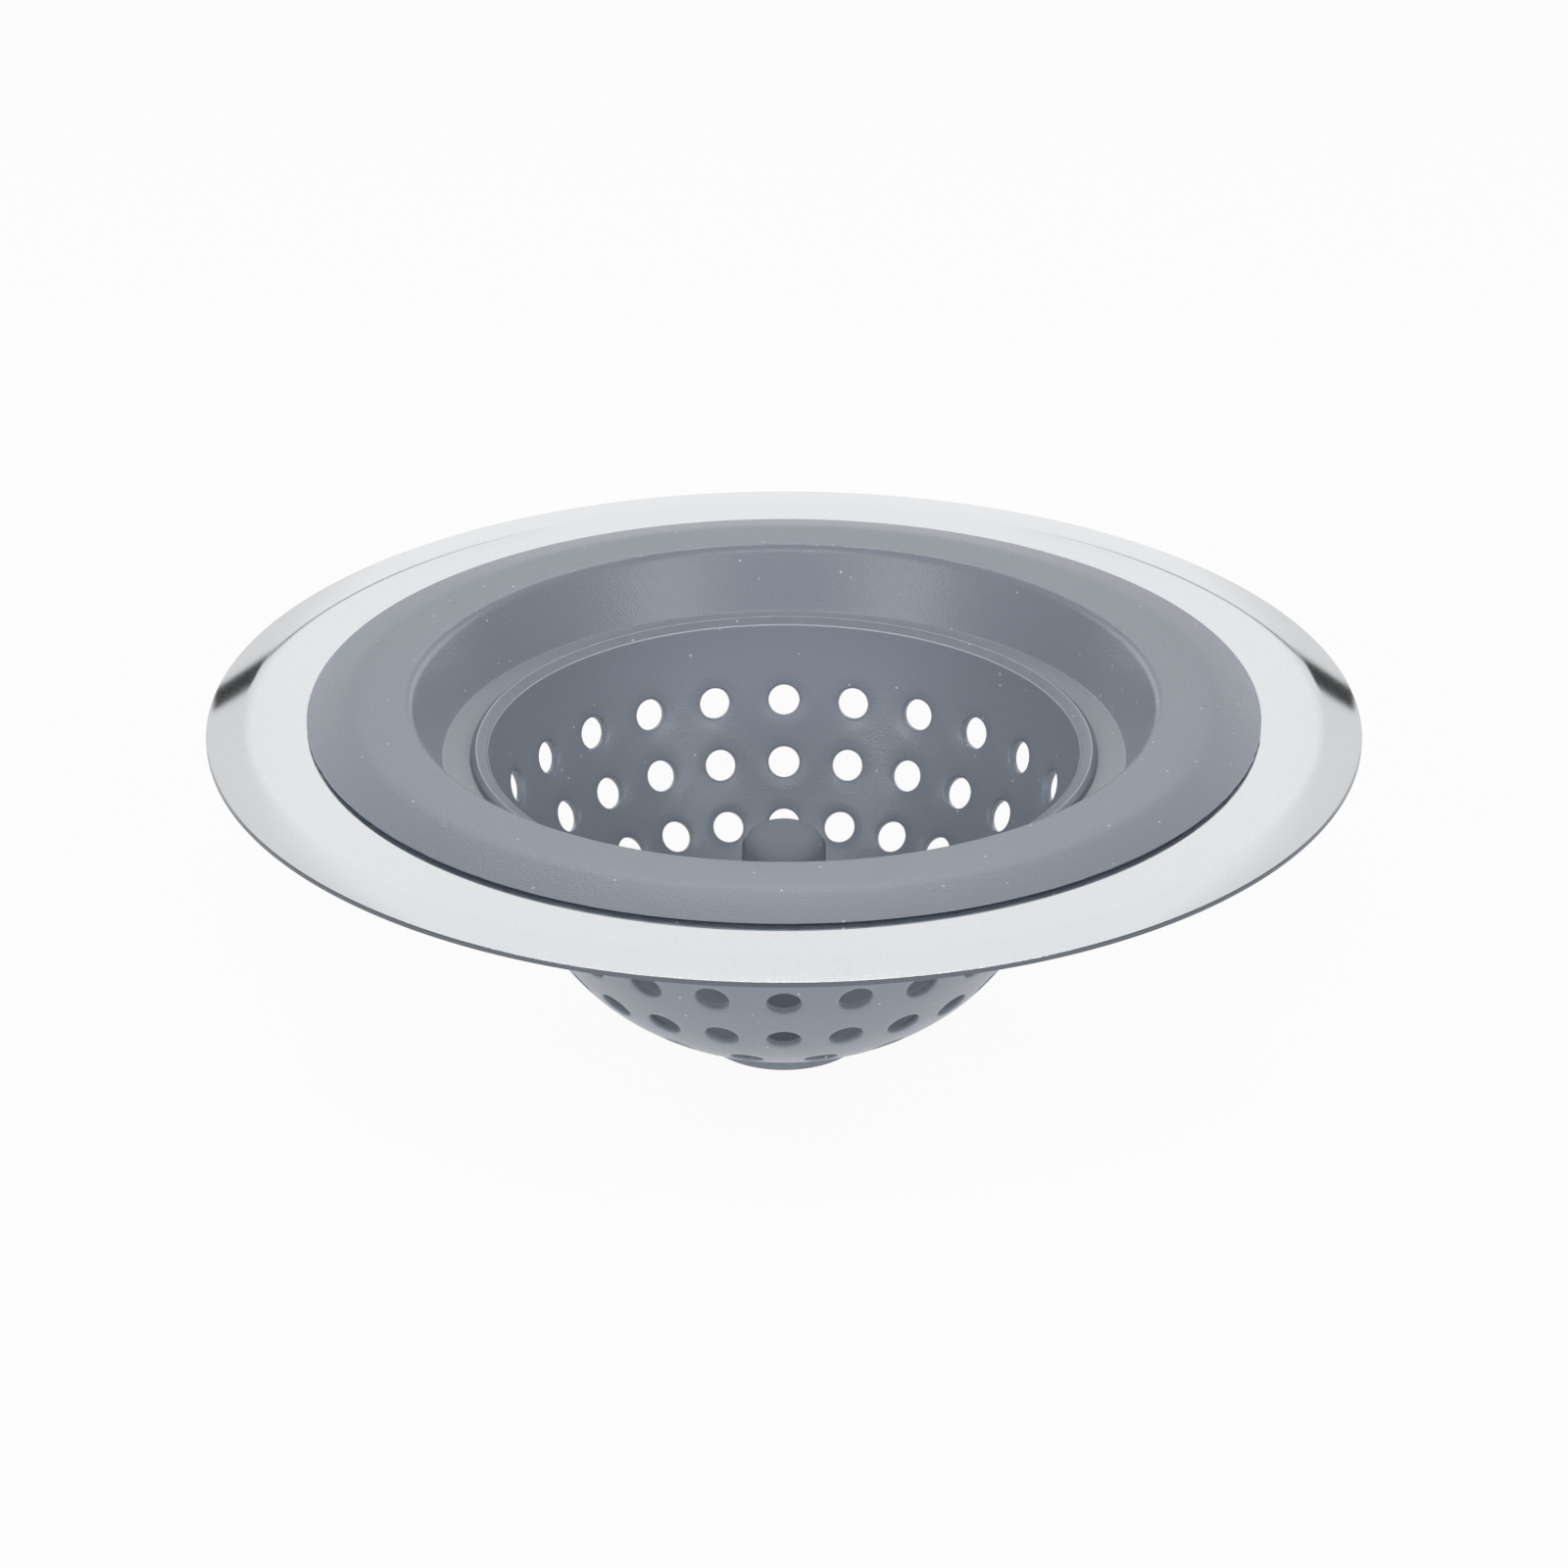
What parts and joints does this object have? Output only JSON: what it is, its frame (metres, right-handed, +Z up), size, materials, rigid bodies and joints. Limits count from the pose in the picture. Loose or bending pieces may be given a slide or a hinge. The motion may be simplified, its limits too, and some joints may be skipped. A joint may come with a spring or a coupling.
{
  "type": "sink strainer",
  "caption": "Perforated moulded silicone basket with an upright grip peg, gripping the inner edge of a flat steel ring; it sits in a sink drain and catches food scraps.",
  "frame": {"origin": "centre of the foot's underside, which is the strainer's lowest face", "axes": "+Z up along the strainer's axis, out of the cup's mouth"},
  "size_m": [0.114, 0.114, 0.0387],
  "materials": {
    "steel": "bright satin",
    "silicone": "satin"
  },
  "bodies": {
    "rim": {"steel_rim": "steel", "basket_collar": "silicone", "fold_web": "silicone"},
    "cup": {"strainer_cup": "silicone", "grip_peg": "silicone", "foot_disc": "silicone"}
  },
  "joints": [
    {"name": "cup_push_up", "type": "slide", "parent": "rim", "child": "cup", "axis": [0, 0, 1], "range_m": [0, 0.0058], "deforming": ["fold_web"]}
  ]
}
